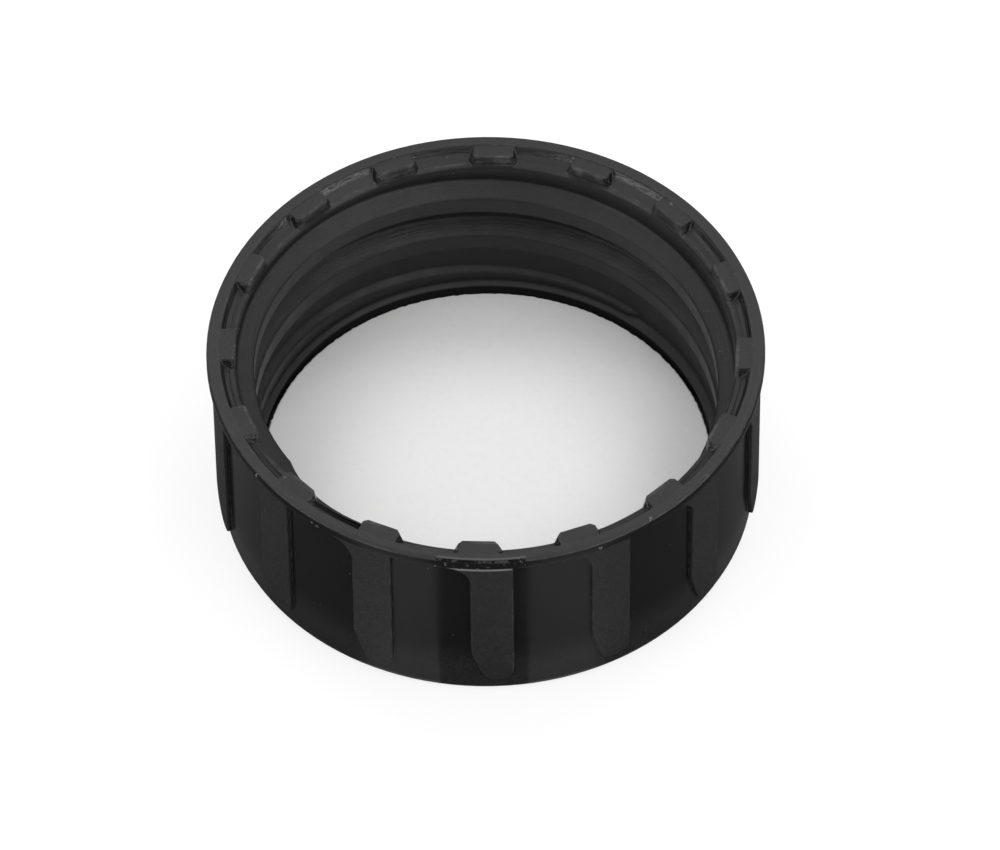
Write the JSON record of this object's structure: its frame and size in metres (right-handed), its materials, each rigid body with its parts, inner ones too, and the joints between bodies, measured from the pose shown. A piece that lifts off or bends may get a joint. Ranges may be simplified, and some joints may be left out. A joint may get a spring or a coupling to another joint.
{
  "type": "septum screw cap",
  "caption": "Open-top screw cap with grip ribs, a lugged mouth and an internal thread, holding a loose round septum behind its window.",
  "frame": {"origin": "centre of the closed end's outer face, where the cap stands", "axes": "+Z along the thread axis, out of the mouth; +X and +Y across the mouth"},
  "size_m": [0.031, 0.031, 0.0118],
  "materials": {
    "shell_plastic": "black injection-moulded plastic, glossy walls with satin ribs and thread",
    "septum_rubber": "matte off-white sheet, die cut"
  },
  "bodies": {
    "root": {"cap_shell": "shell_plastic", "septum": "septum_rubber"}
  },
  "joints": []
}
